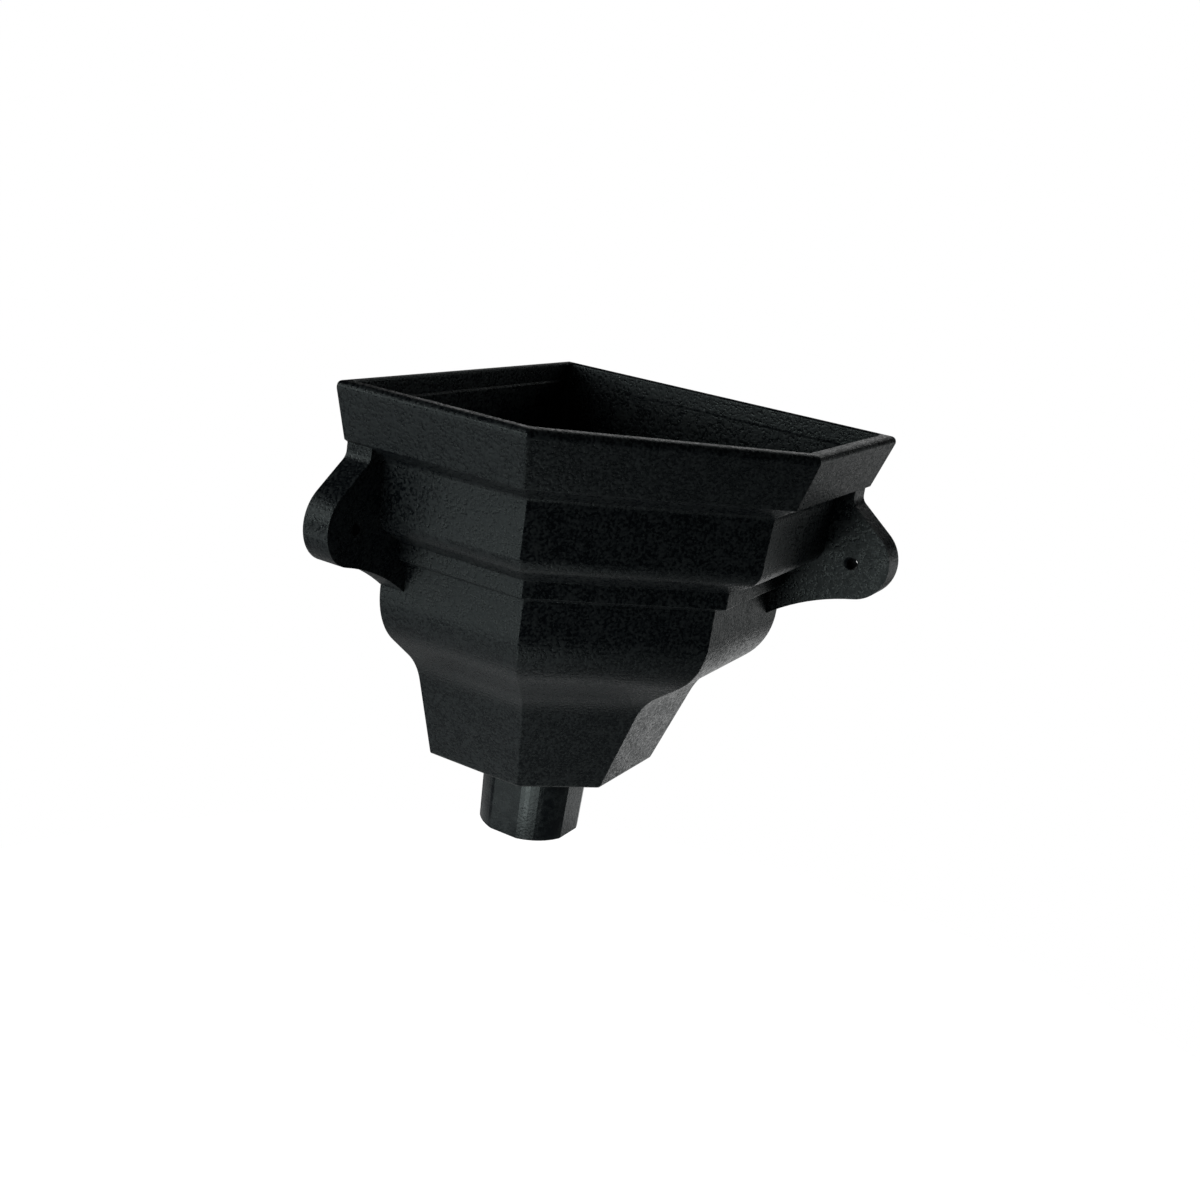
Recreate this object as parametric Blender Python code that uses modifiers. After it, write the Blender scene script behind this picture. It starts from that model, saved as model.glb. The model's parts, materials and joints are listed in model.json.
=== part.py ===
"""Hopper head for the inside corner of two walls: one moulding with two fixing lugs and an outlet spigot.

Sizes are in millimetres. +Z is up. The left wall is the plane X = 0 and the right wall is the plane Y = 0,
and the hopper fills the quarter with X above 0 and Y below 0. The origin is where the walls meet, at the
height of the two fixing screws.
"""
import math

import bmesh
import bpy

MM = 0.001

# Outlet spigot: a tube with four flats.
SPIGOT_RADIUS = 31.5       # over the rounded corners, at the free end
SPIGOT_FLAT_CUT = 1.5      # how deep each flat is cut
SPIGOT_LENGTH = 49.0
SPIGOT_DRAFT = 1.7         # how much wider each side is at the root
SPIGOT_WALL = 2.6
SPIGOT_EDGE = 0.7          # chamfer round the free end
SPIGOT_CLEARANCE = 8.3     # from either wall to the side of the spigot's root
FUNNEL_MARGIN = 26.9       # from the spigot's free end to the edge of the funnel's foot
SPIGOT_FLAT = SPIGOT_RADIUS - SPIGOT_FLAT_CUT
OUTLET_SETBACK = SPIGOT_RADIUS + SPIGOT_DRAFT + SPIGOT_CLEARANCE

# Plan at the rim.
RIM_REACH = 221.5          # from the wall corner to the rim's end, along either wall, before rounding
RIM_SIDE = 114.6           # how far each side panel stands out from its wall
MITRE_ROUND = 1.4          # radius of the two mitred edges outside
OVERHANG = RIM_REACH - OUTLET_SETBACK - SPIGOT_RADIUS - FUNNEL_MARGIN

# Outside profile as bends: (share of the overhang, how far below the rim, radius of the bend).
RIM_ROUND = 3.3
FASCIA_FOOT = (0.0921, 31.2, 0.8)
NECK_TOP = (0.1965, 38.5, 4.0)
NECK_FOOT = (0.2171, 75.9, 12.3)
FILLET_TOP = (0.3775, 87.1, 0.8)
FILLET_FOOT = (0.3799, 97.2, 0.8)
BAND_TOP = (0.4416, 100.1, 1.0)
SHOULDER = (0.4465, 140.3, 43.0)
HOLLOW = (0.7952, 173.8, 45.0)
FUNNEL_FOOT = (1.0, 239.2, 3.0)

# Walls of the moulding.
WALL = 4.0                 # body and back walls
RIM_WALL = 3.2             # back walls above the ledge
RIM_FOOT_DROP = 18.8       # below this the panels keep their wall; above it their inside stands upright
RIM_INNER_ROUND = 1.6      # rounding of the rim's edge inside
RIM_WALL_ROUND = 1.4       # rounding of the rim's edge against the walls
LEDGE_DROP = 10.6          # from the rim to the ledge
LEDGE_HEIGHT = 1.2         # height of the sloping ledge
INSIDE_ROUND = 4.0         # radius of the upright corners inside
LEAST_ROUND = 1.0          # smallest radius on the inside profile

# Fixing lugs, one on each wall.
SCREW_INSET = 7.7          # from the rim's reach back to the screw
SCREW_DROP = 74.5          # from the rim to the screw
SCREW_RADIUS = 3.5
LUG_DEPTH = 16.0           # from the wall to the lug's face
LUG_END = 21.9             # radius of the lug's round end
LUG_END_RISE = 1.5         # how far above the screw the round end is centred
LUG_WALL = 3.0
LUG_EDGE = 1.0             # rounding round the lug's face
LUG_BOSS = 7.5             # radius of the boss round the screw
LUG_TOP_INSET = 2.7        # from the fascia's foot back to the lug's top edge
LUG_TOP_BITE = 2.0         # how far the lug runs up into the fascia
LUG_TOP_HOLLOW = 6.0       # radius of the hollow at the top edge's start
LUG_TOP_SLOPE = 39.0       # degrees below level, from there to the round end
LUG_FOOT_HOLLOW = 133.0    # radius of the long hollow under the lug
LUG_FOOT_SLOPES = (12.0, 38.5)   # degrees below level, at the round end and inside the body
LUG_ROOT_LENGTH = 63.8     # from the screw to where the lug's outline closes inside the body
SCREW_REACH = RIM_REACH - SCREW_INSET

CURVE_ERROR = 0.03         # how far a straight piece may lie from the true curve
OVERRUN = 6.0              # how far a cutter runs past what it cuts

PLASTIC_COLOUR = (0.018, 0.019, 0.018, 1.0)
PLASTIC_ROUGHNESS = 0.55


def clear_scene():
    for item in list(bpy.data.objects):
        bpy.data.objects.remove(item, do_unlink=True)


def new_collection(name):
    group = bpy.data.collections.new(name)
    bpy.context.scene.collection.children.link(group)
    return group


def black_plastic():
    material = bpy.data.materials.new("black plastic")
    material.use_nodes = True
    shader = material.node_tree.nodes["Principled BSDF"]
    shader.inputs["Base Color"].default_value = PLASTIC_COLOUR
    shader.inputs["Roughness"].default_value = PLASTIC_ROUGHNESS
    shader.inputs["Metallic"].default_value = 0.0
    return material


def mesh_object(name, form, group):
    """Turn a bmesh into an object with outward faces."""
    bmesh.ops.recalc_face_normals(form, faces=form.faces)
    mesh = bpy.data.meshes.new(name)
    form.to_mesh(mesh)
    form.free()
    item = bpy.data.objects.new(name, mesh)
    group.objects.link(item)
    return item


def arc_steps(radius, angle):
    """How many straight pieces stand for an arc."""
    widest = 2 * math.acos(max(1.0 - CURVE_ERROR / radius, 0.0))
    return max(2, math.ceil(abs(angle) / widest))


def turn(first, second):
    """Signed angle from one direction to another."""
    return math.atan2(first[0] * second[1] - first[1] * second[0],
                      first[0] * second[0] + first[1] * second[1])


def direction(start, end):
    length = math.hypot(end[0] - start[0], end[1] - start[1])
    return (end[0] - start[0]) / length, (end[1] - start[1]) / length


def rounded(bends, closed):
    """Points along a path whose bends (x, y, radius) are rounded; a radius of 0 stays sharp."""
    points = []
    count = len(bends)
    for index, (x, y, radius) in enumerate(bends):
        if radius == 0.0 or (not closed and index in (0, count - 1)):
            points.append((x, y))
            continue
        into = direction(bends[index - 1], (x, y))
        out = direction((x, y), bends[(index + 1) % count])
        angle = turn(into, out)
        tangent = radius * math.tan(abs(angle) / 2)
        start = (x - into[0] * tangent, y - into[1] * tangent)
        side = math.copysign(1.0, angle)
        centre = (start[0] - into[1] * side * radius, start[1] + into[0] * side * radius)
        steps = arc_steps(radius, angle)
        for step in range(steps + 1):
            part = angle * step / steps
            arm = (start[0] - centre[0], start[1] - centre[1])
            points.append((centre[0] + arm[0] * math.cos(part) - arm[1] * math.sin(part),
                           centre[1] + arm[0] * math.sin(part) + arm[1] * math.cos(part)))
    return points


def outside_bends():
    """The outside profile as (how far in from the rim, how far below it, radius)."""
    shares = [FASCIA_FOOT, NECK_TOP, NECK_FOOT, FILLET_TOP, FILLET_FOOT, BAND_TOP, SHOULDER, HOLLOW,
              FUNNEL_FOOT]
    bends = [(share * OVERHANG, drop, radius) for share, drop, radius in shares]
    foot = bends[-1]
    rim = [(3 * RIM_ROUND, 0.0, 0.0), (0.0, 0.0, RIM_ROUND)]
    return rim + bends + [(foot[0] + 2 * foot[2], foot[1], 0.0)]


def inside_bends(wall):
    """The outside profile moved in by the wall's thickness, from the fascia's foot down."""
    bends = outside_bends()
    moved = []
    for before, bend, after in zip(bends[1:], bends[2:], bends[3:]):
        into, out = direction(before, bend), direction(bend, after)
        angle = turn(into, out)
        reach = wall / math.cos(angle / 2)
        middle = direction((0.0, 0.0), (into[1] + out[1], -into[0] - out[0]))
        radius = bend[2] - wall if angle < 0 else bend[2] + wall
        moved.append((bend[0] + middle[0] * reach, bend[1] + middle[1] * reach, max(radius, LEAST_ROUND)))
    last = moved[-1]
    return moved + [(last[0] + 3 * last[2], last[1], 0.0)]


def plan_ring(inset, drop, gap, mitre_round, back_round, end_round):
    """Outline of the corner plan at one level, gap clear of the walls."""
    reach = RIM_REACH - inset
    side = RIM_SIDE - inset * math.tan(math.pi / 8)
    bends = [(gap, -gap, back_round), (gap, -reach, end_round), (side, -reach, mitre_round),
             (reach, -side, mitre_round), (reach, -gap, end_round)]
    return [(x, y, SCREW_DROP - drop) for x, y in rounded(bends, closed=True)]


def loft(name, rings, group):
    """A closed solid through rings of equal count, listed from the top down."""
    form = bmesh.new()
    levels = [[form.verts.new((x * MM, y * MM, z * MM)) for x, y, z in ring] for ring in rings]
    for upper, lower in zip(levels, levels[1:]):
        for index in range(len(upper)):
            after = (index + 1) % len(upper)
            form.faces.new((lower[index], lower[after], upper[after], upper[index]))
    form.faces.new(levels[0])
    form.faces.new(list(reversed(levels[-1])))
    return mesh_object(name, form, group)


def edge_shortfall(radius, drop):
    """How far the rim's rounded edge stands back from its face, at one depth below the rim."""
    short = min(max(radius - drop, 0.0), radius)
    return radius - math.sqrt(radius ** 2 - short ** 2)


def body_solid(group):
    rings = [plan_ring(inset, drop, edge_shortfall(RIM_WALL_ROUND, drop), MITRE_ROUND, 0.0, 0.0)
             for inset, drop in rounded(outside_bends(), closed=False)[1:-1]]
    return loft("hopper_head", rings, group)


def bowl_cutter(group):
    """The inside of the bowl: a thick upright rim with a ledge, then walls that follow the outside."""
    slope = math.atan2(FASCIA_FOOT[0] * OVERHANG, FASCIA_FOOT[1])
    upright = RIM_FOOT_DROP * math.tan(slope) + WALL / math.cos(slope)
    ledge = WALL - RIM_WALL
    steps = arc_steps(RIM_INNER_ROUND, math.pi / 2)
    drops = [RIM_INNER_ROUND * (1 - math.cos(math.pi / 2 * step / steps)) for step in range(steps + 1)]

    # Each level is (how far in from the rim, how far below it, thickness of the back walls).
    levels = []
    for drop in [-OVERRUN] + drops + [LEDGE_DROP]:
        short = edge_shortfall(RIM_INNER_ROUND, drop)
        levels.append((upright - ledge - short, drop, RIM_WALL - short))
    ledge_foot = LEDGE_DROP + LEDGE_HEIGHT
    path = rounded([(upright, ledge_foot, 0.0), (upright, RIM_FOOT_DROP, LEAST_ROUND)] + inside_bends(WALL),
                   closed=False)
    levels += [(inset, drop, WALL) for inset, drop in path[:-1]]
    rings = [plan_ring(inset, drop, gap, LEAST_ROUND, INSIDE_ROUND, INSIDE_ROUND)
             for inset, drop, gap in levels]
    return loft("bowl_cutter", rings, group)


def outlet_ring(radius, flat, drop):
    """A circle with four flats, round the outlet's axis."""
    corner = math.acos(flat / radius)
    steps = arc_steps(SPIGOT_RADIUS, math.pi / 2 - 2 * math.acos(SPIGOT_FLAT / SPIGOT_RADIUS))
    ring = []
    for quarter in range(4):
        for step in range(steps + 1):
            angle = quarter * math.pi / 2 + corner + (math.pi / 2 - 2 * corner) * step / steps
            ring.append((OUTLET_SETBACK + radius * math.cos(angle), radius * math.sin(angle) - OUTLET_SETBACK,
                         SCREW_DROP - drop))
    return ring


def outlet_solid(name, thinner, levels, group):
    """The spigot or its bore: each level is (drop below the rim, extra taken off the side)."""
    foot = FUNNEL_FOOT[1] + SPIGOT_LENGTH
    rings = []
    for drop, trim in levels:
        draft = SPIGOT_DRAFT * (foot - drop) / SPIGOT_LENGTH - thinner - trim
        rings.append(outlet_ring(SPIGOT_RADIUS + draft, SPIGOT_FLAT + draft, drop))
    return loft(name, rings, group)


def lug_outline(inner):
    """Edge of a lug, as (reach along the wall, height), moved in by the amount given."""
    round_end = LUG_END - inner
    top_slope = math.radians(LUG_TOP_SLOPE)
    outline = []

    # Under the fascia the top edge starts upright, hollows out and then runs straight to the round end.
    hollow = LUG_TOP_HOLLOW + inner
    fascia_foot = RIM_REACH - FASCIA_FOOT[0] * OVERHANG
    start = fascia_foot - LUG_TOP_INSET - inner
    end = start + hollow * (1 - math.sin(top_slope))
    touch = (SCREW_REACH + round_end * math.sin(top_slope), LUG_END_RISE + round_end * math.cos(top_slope))
    end_height = touch[1] + (touch[0] - end) * math.tan(top_slope)
    start_height = end_height + hollow * math.cos(top_slope)
    fascia = SCREW_DROP - FASCIA_FOOT[1] + LUG_TOP_BITE - inner
    root = SCREW_REACH - LUG_ROOT_LENGTH
    outline += [(root, fascia), (start, fascia)]
    steps = arc_steps(LUG_TOP_HOLLOW, math.pi / 2 - top_slope)
    for step in range(steps + 1):
        slope = math.pi / 2 + (top_slope - math.pi / 2) * step / steps
        outline.append((start + hollow * (1 - math.sin(slope)), start_height - hollow * math.cos(slope)))

    # The round end turns about a point just above the screw.
    first, last = (math.radians(slope) for slope in LUG_FOOT_SLOPES)
    opening = math.pi / 2 - top_slope
    closing = first - math.pi / 2
    steps = arc_steps(LUG_END, opening - closing)
    for step in range(steps + 1):
        angle = opening + (closing - opening) * step / steps
        outline.append((SCREW_REACH + round_end * math.cos(angle),
                        LUG_END_RISE + round_end * math.sin(angle)))

    # The long hollow runs down to the body.
    hollow = LUG_FOOT_HOLLOW + inner
    foot = outline[-1]
    steps = arc_steps(LUG_FOOT_HOLLOW, last - first)
    for step in range(1, steps + 1):
        slope = first + (last - first) * step / steps
        outline.append((foot[0] - hollow * (math.sin(slope) - math.sin(first)),
                        foot[1] - hollow * (math.cos(first) - math.cos(slope))))
    outline.append((root, outline[-1][1]))
    return outline


def wall_place(item, side, depth):
    """Stand an item made flat in local XY on a wall: side 1 is the right wall, -1 the left one."""
    item.rotation_euler = (math.pi / 2, 0.0, 0.0 if side > 0 else math.pi / 2)
    item.location = (0.0, -depth * MM, 0.0) if side > 0 else (depth * MM, 0.0, 0.0)


def flat_plate(name, outline, side, low, high, group):
    """A plate cut to an outline, standing from one depth to another off the wall."""
    curve = bpy.data.curves.new(name, "CURVE")
    curve.dimensions = "2D"
    curve.fill_mode = "BOTH"
    curve.extrude = (high - low) / 2 * MM
    spline = curve.splines.new("POLY")
    spline.points.add(len(outline) - 1)
    for point, (reach, height) in zip(spline.points, outline):
        point.co = (side * reach * MM, height * MM, 0.0, 1.0)
    spline.use_cyclic_u = True
    blank = bpy.data.objects.new(name, curve)
    form = bmesh.new()
    form.from_mesh(blank.to_mesh())
    blank.to_mesh_clear()
    bpy.data.objects.remove(blank)
    bmesh.ops.remove_doubles(form, verts=form.verts, dist=0.01 * MM)
    plate = mesh_object(name, form, group)
    wall_place(plate, side, (low + high) / 2)
    return plate


def screw_bar(name, radius, side, low, high, group):
    """A round bar on the screw's axis, from one depth to another off the wall."""
    form = bmesh.new()
    bmesh.ops.create_cone(form, cap_ends=True, segments=4 * arc_steps(radius, math.pi / 2),
                          radius1=radius * MM, radius2=radius * MM, depth=(high - low) * MM)
    bmesh.ops.translate(form, verts=form.verts, vec=(side * SCREW_REACH * MM, 0.0, 0.0))
    bar = mesh_object(name, form, group)
    wall_place(bar, side, (low + high) / 2)
    return bar


def combine(target, other, operation):
    step = target.modifiers.new(f"{operation.lower()} {other.name}", "BOOLEAN")
    step.operation = operation
    step.solver = "EXACT"
    step.object = other


def round_face_edges(plate):
    """Round only the edges of the plate's outer face."""
    mesh = plate.data
    face_level = max(vertex.co.z for vertex in mesh.vertices)
    weights = mesh.attributes.new("bevel_weight_edge", "FLOAT", "EDGE")
    normals = {}
    for polygon in mesh.polygons:
        for key in polygon.edge_keys:
            normals.setdefault(key, []).append(polygon.normal)
    for edge in mesh.edges:
        ends = [mesh.vertices[index].co.z for index in edge.vertices]
        first, second = normals[tuple(sorted(edge.vertices))]
        if min(ends) > face_level - 0.01 * MM and first.dot(second) < 0.5:
            weights.data[edge.index].value = 1.0
    bevel = plate.modifiers.new("face edge", "BEVEL")
    bevel.limit_method = "WEIGHT"
    bevel.width = LUG_EDGE * MM
    bevel.segments = 3


def lug_solid(side, group):
    """An open-backed fixing lug with a boss round its screw."""
    name = "right_lug" if side > 0 else "left_lug"
    lug = flat_plate(name, lug_outline(0.0), side, 0.0, LUG_DEPTH, group)
    round_face_edges(lug)
    pocket = flat_plate(f"{name}_pocket", lug_outline(LUG_WALL), side, -OVERRUN, LUG_DEPTH - LUG_WALL, group)
    combine(lug, pocket, "DIFFERENCE")
    boss = screw_bar(f"{name}_boss", LUG_BOSS, side, 0.0, LUG_DEPTH - LUG_WALL / 2, group)
    combine(lug, boss, "UNION")
    return lug


def hopper_head(shown, tools):
    head = body_solid(shown)
    funnel_end = FUNNEL_FOOT[1]
    foot = funnel_end + SPIGOT_LENGTH
    spigot = outlet_solid("spigot", 0.0, [(funnel_end - WALL / 2, 0.0), (foot - SPIGOT_EDGE, 0.0),
                                          (foot, SPIGOT_EDGE)], tools)
    combine(head, spigot, "UNION")
    for side in (1, -1):
        combine(head, lug_solid(side, tools), "UNION")
    combine(head, bowl_cutter(tools), "DIFFERENCE")
    bore = outlet_solid("outlet_bore", SPIGOT_WALL, [(funnel_end - WALL - OVERRUN, 0.0),
                                                     (foot + OVERRUN, 0.0)], tools)
    combine(head, bore, "DIFFERENCE")
    for side in (1, -1):
        hole = screw_bar("right_screw_hole" if side > 0 else "left_screw_hole", SCREW_RADIUS, side, -OVERRUN,
                         LUG_DEPTH + OVERRUN, tools)
        combine(head, hole, "DIFFERENCE")
    return head


def main():
    clear_scene()
    shown = new_collection("downpipe hopper head")
    tools = new_collection("cutters")
    frame = bpy.data.objects.new("wall_corner", None)
    frame.empty_display_size = 0.05
    shown.objects.link(frame)
    head = hopper_head(shown, tools)
    head.data.materials.append(black_plastic())
    head.parent = frame
    for tool in tools.objects:
        tool.hide_render = True
        tool.display_type = "WIRE"
        tool.parent = frame


main()
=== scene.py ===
"""Looks of the downpipe hopper head: matt black moulded plastic in a plain pale studio.

Lengths are in metres, in the part's own frame: +Z is up, and the walls are the planes X = 0 and Y = 0.
"""
import json
import math

import bpy
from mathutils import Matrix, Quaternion, Vector


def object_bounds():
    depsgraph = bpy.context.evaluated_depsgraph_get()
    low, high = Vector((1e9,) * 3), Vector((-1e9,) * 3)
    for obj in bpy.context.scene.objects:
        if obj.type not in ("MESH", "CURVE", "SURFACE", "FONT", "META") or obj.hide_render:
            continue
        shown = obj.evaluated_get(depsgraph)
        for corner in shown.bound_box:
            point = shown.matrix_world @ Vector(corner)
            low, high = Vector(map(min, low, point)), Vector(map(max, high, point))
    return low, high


# Camera, at the photograph's viewing angle. Angles are in degrees; azimuth 0 looks along +Y and 90 along -X.
CAMERA_PLACE = (0.4641, -0.7808, 0.1996)
CAMERA_AZIMUTH = 26.04
CAMERA_ELEVATION = 14.98
CAMERA_ROLL = 9.03
SENSOR = 36.0                # mm
LENS = 43.15                 # mm
SHIFT = (-0.0473, -0.0361)

# Plastic: its mould gives the body a grain, and the spigot is smoother so that a pipe slides over it.
BLACK = (0.0020, 0.0038, 0.0065, 1.0)
RUBBED_BLACK = (0.025, 0.031, 0.033, 1.0)
GLOSS_TINT = (0.86, 1.0, 0.98, 1.0)
PLASTIC_IOR = 1.5
BODY_ROUGHNESS = (0.27, 0.50)
SPIGOT_ROUGHNESS = (0.17, 0.22)
GRAIN_DEPTH = 0.00045
SPIGOT_FADE = (0.0005, 0.0015)    # depths below the shoulder, from the body's surface to the spigot's
SCREW_REACH = 0.2123              # from the corner of the walls to each screw hole
DRILLED_FADE = (0.0036, 0.0038)   # from a hole's middle: rough up to the first, moulded from the second on

# Noises: the size of their features, their detail and their roughness.
MOTTLE = (0.009, 5.0, 0.65)
COARSE_GRAIN = (0.0017, 2.0, 0.5)
FINE_GRAIN = (0.0009, 1.0, 0.5)
FINE_GRAIN_SHARE = 0.25      # of the whole grain
UNEVEN_GRAIN_SHARE = 0.75    # how much of the unevenness is grain, and not mottle
UNEVEN_RANGE = (0.45, 0.59)  # noise values between which colour and sheen change
SPIGOT_GRAIN_SHARE = 0.25    # what the spigot has of the grain's depth, and of grain in its unevenness

# Studio.
FLOOR_DROP = 0.34            # from the part's lowest point down to the floor
FLOOR_RADIUS = 0.8
FLOOR_CORNERS = 128
FLOOR_COLOUR = (0.55, 0.55, 0.55, 1.0)
FLOOR_ROUGHNESS = 0.9
FLOOR_GLOW = (0.9, 1.0)      # to the camera alone, under the part and at the edge
WHITE = (1.0, 1.0, 1.0, 1.0)
ROOM_LIGHT = 0.012           # what the room gives from all round

# Soft boxes, aimed at the part's middle: the azimuth and elevation they stand at, distance, width and
# height, and power in watts. The three nearest are small, and light mostly the funnel and the spigot.
SOFT_BOXES = {
    "low front": (331.0, -20.0, 0.95, (0.75, 0.22), 0.66),
    "funnel left": (313.0, -42.5, 0.37, (0.12, 0.07), 0.012),
    "spigot middle": (358.5, -49.0, 0.33, (0.13, 0.07), 0.056),
    "spigot right": (24.0, -51.5, 0.32, (0.15, 0.07), 0.055),
    "front": (352.0, -9.0, 1.3, (0.3, 0.3), 0.9),
    "middle front": (336.0, 9.0, 1.6, (0.8, 0.12), 1.7),
    "high front": (338.0, 20.0, 1.6, (0.7, 0.3), 1.3),
    "left": (300.0, 20.0, 1.6, (0.6, 0.6), 2.8),
    "behind": (200.0, 12.0, 1.6, (1.2, 0.4), 1.0),
    "high behind": (190.0, 40.0, 1.8, (1.4, 1.0), 1.6),
    "low behind": (190.0, -33.0, 0.78, (0.8, 0.35), 0.76),
    "below": (235.0, -68.0, 0.45, (0.4, 0.3), 0.1),
    "low left": (255.0, -33.0, 0.78, (0.5, 0.35), 0.12),
    "right behind": (153.0, -10.0, 1.5, (1.1, 0.5), 0.74),
    "right": (128.0, 10.0, 1.6, (0.8, 0.8), 1.8),
}


def feed(tree, socket, value):
    """Link value to the socket if it is a node's output, and otherwise write it there."""
    if isinstance(value, bpy.types.NodeSocket):
        tree.links.new(value, socket)
    else:
        socket.default_value = value


def add_node(tree, kind, at, *inputs, **values):
    """A shader node, with inputs given in order and more inputs or settings given by name."""
    node = tree.nodes.new(kind)
    node.location = at
    for socket, value in zip(node.inputs, inputs):
        feed(tree, socket, value)
    for name, value in values.items():
        socket = name.replace("_", " ")
        if socket in node.inputs:
            feed(tree, node.inputs[socket], value)
        else:
            setattr(node, name, value)
    return node


def blend(tree, at, factor, first, second, limits=(0.0, 1.0)):
    """A number that goes from first to second as factor, an output, goes between the limits."""
    return add_node(tree, "ShaderNodeMapRange", at, Value=factor, From_Min=limits[0],
                    From_Max=limits[1], To_Min=first, To_Max=second).outputs["Result"]


def mix(tree, at, share, first, second):
    """The number that takes share of itself from second and the rest from first."""
    node = add_node(tree, "ShaderNodeMix", at)
    for index, value in ((0, share), (2, first), (3, second)):
        feed(tree, node.inputs[index], value)
    return node.outputs[0]


def larger(tree, at, first, second):
    """The larger of two outputs."""
    return add_node(tree, "ShaderNodeMath", at, first, second, operation="MAXIMUM").outputs[0]


def noise(tree, at, place, size, detail, roughness):
    """Noise from 0 to 1 with features of about the size given."""
    return add_node(tree, "ShaderNodeTexNoise", at, Vector=place, Scale=1 / size, Detail=detail,
                    Roughness=roughness).outputs["Fac"]


def in_screw_holes(tree, place):
    """1 in the two screw holes, which lie at the same reach along their walls, and 0 elsewhere."""
    either_side = add_node(tree, "ShaderNodeVectorMath", (-1400, -800), place, operation="ABSOLUTE")
    sides = add_node(tree, "ShaderNodeSeparateXYZ", (-1200, -800), either_side.outputs[0])
    reach = larger(tree, (-1000, -800), sides.outputs["X"], sides.outputs["Y"])
    across = add_node(tree, "ShaderNodeCombineXYZ", (-800, -800), X=reach, Z=sides.outputs["Z"])
    from_screw = add_node(tree, "ShaderNodeVectorMath", (-600, -800), across.outputs[0],
                          (SCREW_REACH, 0.0, 0.0), operation="DISTANCE")
    return blend(tree, (-400, -800), from_screw.outputs["Value"], 1.0, 0.0, limits=DRILLED_FADE)


def black_plastic(spigot_top):
    """Matt black plastic with a moulded grain, a little uneven in sheen, and smoother on the spigot."""
    material = bpy.data.materials.new("grained black plastic")
    material.use_nodes = True
    tree = material.node_tree
    shader = tree.nodes["Principled BSDF"]
    shader.inputs["IOR"].default_value = PLASTIC_IOR
    shader.inputs["Specular Tint"].default_value = GLOSS_TINT
    place = add_node(tree, "ShaderNodeTexCoord", (-1600, 0)).outputs["Object"]

    # 0 on the body, 1 on the spigot.
    height = add_node(tree, "ShaderNodeSeparateXYZ", (-1400, -500), place).outputs["Z"]
    spigot = blend(tree, (-1200, -500), height, 0.0, 1.0,
                   limits=[spigot_top - depth for depth in SPIGOT_FADE])

    # Broad mottle and two sizes of grain.
    mottle = noise(tree, (-1400, 400), place, *MOTTLE)
    coarse = noise(tree, (-1400, 150), place, *COARSE_GRAIN)
    fine = noise(tree, (-1400, -100), place, *FINE_GRAIN)
    grain = mix(tree, (-1100, 100), FINE_GRAIN_SHARE, coarse, fine)
    share = blend(tree, (-1100, 350), spigot, UNEVEN_GRAIN_SHARE, SPIGOT_GRAIN_SHARE)
    uneven = mix(tree, (-900, 300), share, mottle, grain)

    # Roughness: that of the moulded surfaces, and 1 in the screw holes, because they are drilled.
    body = blend(tree, (-700, 300), uneven, *BODY_ROUGHNESS, limits=UNEVEN_RANGE)
    smooth = blend(tree, (-700, 0), uneven, *SPIGOT_ROUGHNESS, limits=UNEVEN_RANGE)
    moulded = mix(tree, (-400, 200), spigot, body, smooth)
    roughness = larger(tree, (-200, 200), moulded, in_screw_holes(tree, place))
    feed(tree, shader.inputs["Roughness"], roughness)

    colour = add_node(tree, "ShaderNodeValToRGB", (-600, 600), uneven)
    for stop, position, value in zip(colour.color_ramp.elements, UNEVEN_RANGE, (BLACK, RUBBED_BLACK)):
        stop.position, stop.color = position, value
    feed(tree, shader.inputs["Base Color"], colour.outputs["Color"])

    depth = blend(tree, (-700, -500), spigot, 1.0, SPIGOT_GRAIN_SHARE)
    bump = add_node(tree, "ShaderNodeBump", (-300, -250), Distance=GRAIN_DEPTH, Strength=depth, Height=grain)
    feed(tree, shader.inputs["Normal"], bump.outputs["Normal"])
    return material


def studio_floor(middle, low):
    """A pale round floor that looks white to the camera and keeps the part's shadow."""
    material = bpy.data.materials.new("studio floor")
    material.use_nodes = True
    tree = material.node_tree
    shader = tree.nodes["Principled BSDF"]
    shader.inputs["Base Color"].default_value = FLOOR_COLOUR
    shader.inputs["Roughness"].default_value = FLOOR_ROUGHNESS
    place = add_node(tree, "ShaderNodeTexCoord", (-900, -400)).outputs["Object"]
    reach = add_node(tree, "ShaderNodeVectorMath", (-700, -400), place, operation="LENGTH")
    fade = add_node(tree, "ShaderNodeMapRange", (-500, -400), reach.outputs["Value"],
                    interpolation_type="SMOOTHSTEP", From_Max=FLOOR_RADIUS,
                    To_Min=FLOOR_GLOW[0], To_Max=FLOOR_GLOW[1])
    rays = add_node(tree, "ShaderNodeLightPath", (-500, -200))
    seen = add_node(tree, "ShaderNodeMath", (-300, -200), rays.outputs["Is Camera Ray"],
                    fade.outputs["Result"], operation="MULTIPLY")
    glow = add_node(tree, "ShaderNodeEmission", (0, -200), WHITE, seen.outputs[0])
    both = add_node(tree, "ShaderNodeAddShader", (300, 0), shader.outputs[0], glow.outputs[0])
    feed(tree, tree.nodes["Material Output"].inputs["Surface"], both.outputs[0])

    bpy.ops.mesh.primitive_circle_add(vertices=FLOOR_CORNERS, radius=FLOOR_RADIUS, fill_type="NGON",
                                      location=(middle.x, middle.y, low - FLOOR_DROP))
    floor = bpy.context.object
    floor.name = "floor"
    floor.data.materials.append(material)


def studio_world():
    """White to the camera, nearly dark to everything else."""
    world = bpy.data.worlds.new("studio")
    bpy.context.scene.world = world
    world.use_nodes = True
    tree = world.node_tree
    back = tree.nodes["Background"]
    back.inputs["Color"].default_value = WHITE
    camera_ray = add_node(tree, "ShaderNodeLightPath", (-600, 0)).outputs["Is Camera Ray"]
    feed(tree, back.inputs["Strength"], blend(tree, (-300, 0), camera_ray, ROOM_LIGHT, 1.0))


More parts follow.
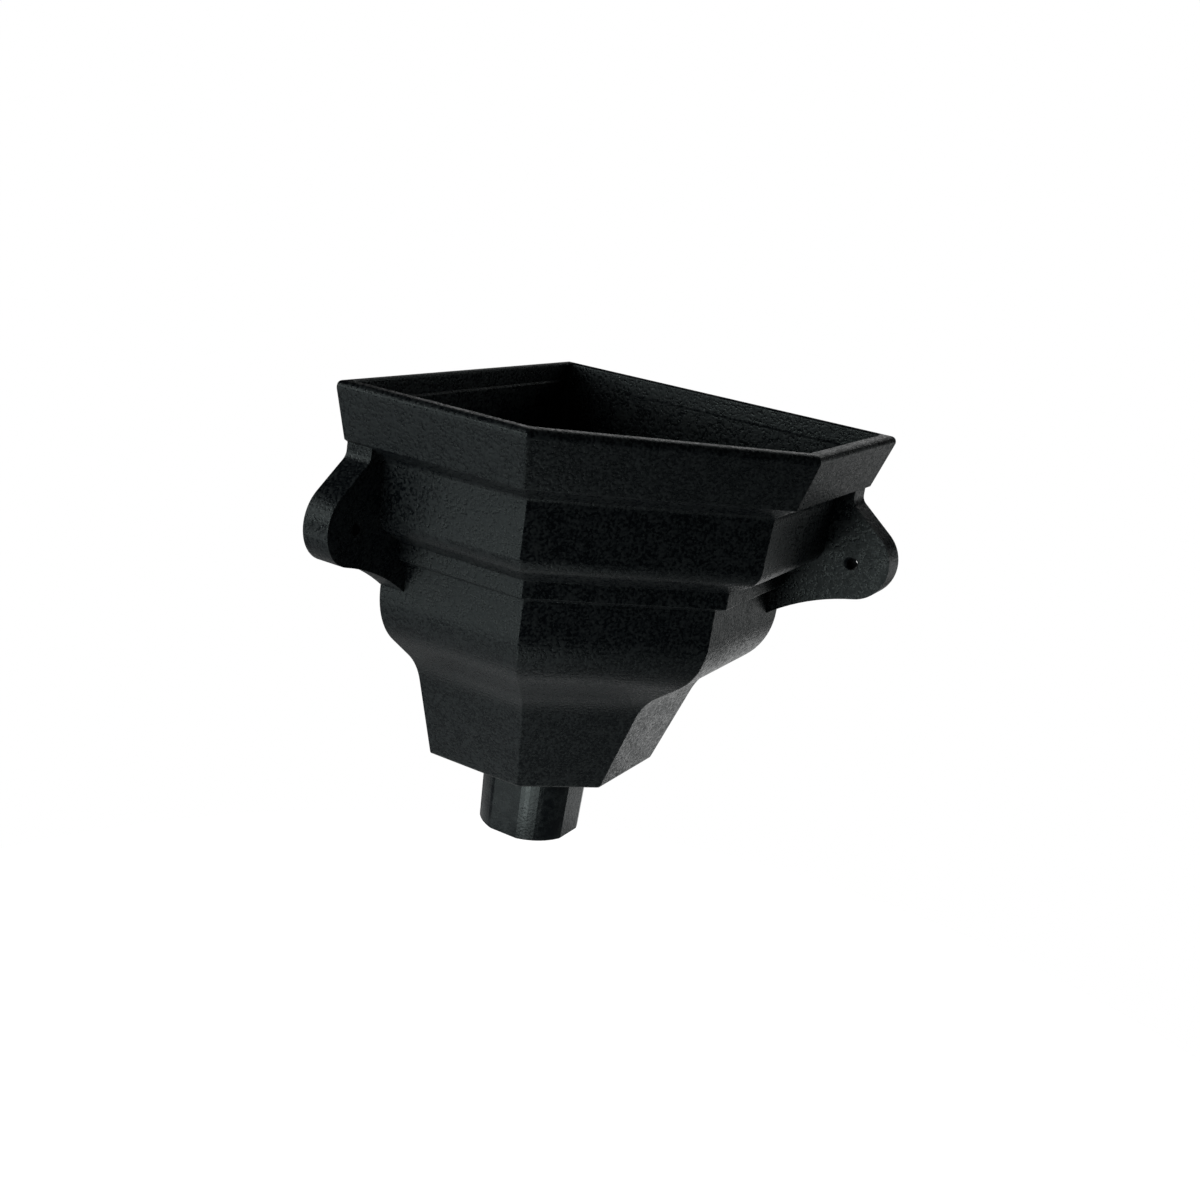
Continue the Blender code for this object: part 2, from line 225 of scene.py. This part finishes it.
def outward(azimuth, elevation):
    """Direction from the part towards an azimuth and elevation in degrees."""
    around, above = math.radians(azimuth), math.radians(elevation)
    return Vector((math.sin(around) * math.cos(above), -math.cos(around) * math.cos(above), math.sin(above)))


def soft_box(name, middle, azimuth, elevation, distance, size, power):
    """A rectangular lamp that faces the part's middle and that the camera doesn't see."""
    light = bpy.data.lights.new(name, "AREA")
    light.shape = "RECTANGLE"
    light.size, light.size_y = size
    light.energy = power
    lamp = bpy.data.objects.new(name, light)
    away = outward(azimuth, elevation)
    lamp.location = middle + away * distance
    lamp.rotation_euler = (-away).to_track_quat("-Z", "Y").to_euler()
    lamp.visible_camera = False
    bpy.context.scene.collection.objects.link(lamp)


def studio_camera():
    """The camera, level at its azimuth and elevation and then rolled."""
    data = bpy.data.cameras.new("camera")
    data.sensor_width, data.lens = SENSOR, LENS
    data.shift_x, data.shift_y = SHIFT
    camera = bpy.data.objects.new("camera", data)
    level = (-outward(CAMERA_AZIMUTH, CAMERA_ELEVATION)).to_track_quat("-Z", "Y")
    camera.rotation_mode = "QUATERNION"
    camera.rotation_quaternion = level @ Quaternion((0.0, 0.0, 1.0), math.radians(CAMERA_ROLL))
    camera.location = CAMERA_PLACE
    bpy.context.scene.collection.objects.link(camera)
    bpy.context.scene.camera = camera


with open("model.json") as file:
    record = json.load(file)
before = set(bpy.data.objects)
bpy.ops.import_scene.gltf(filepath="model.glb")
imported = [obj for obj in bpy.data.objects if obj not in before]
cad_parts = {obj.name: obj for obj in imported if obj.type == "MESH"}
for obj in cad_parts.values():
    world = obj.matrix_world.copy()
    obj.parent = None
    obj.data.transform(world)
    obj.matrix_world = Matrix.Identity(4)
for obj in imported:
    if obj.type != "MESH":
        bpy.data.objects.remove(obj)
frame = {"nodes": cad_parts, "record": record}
cad_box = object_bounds()
middle = (cad_box[0] + cad_box[1]) / 2
mounts = {mount["name"]: mount for mount in frame["record"]["mounts"]}
head = frame["nodes"]["hopper_head"]
head.data.materials.clear()
head.data.materials.append(black_plastic(mounts["outlet_shoulder"]["pos_m"][2]))

studio_camera()
studio_floor(middle, cad_box[0].z)
studio_world()
for name, (azimuth, elevation, distance, size, power) in SOFT_BOXES.items():
    soft_box(name, middle, azimuth, elevation, distance, size, power)
bpy.context.scene.view_settings.view_transform = "Standard"
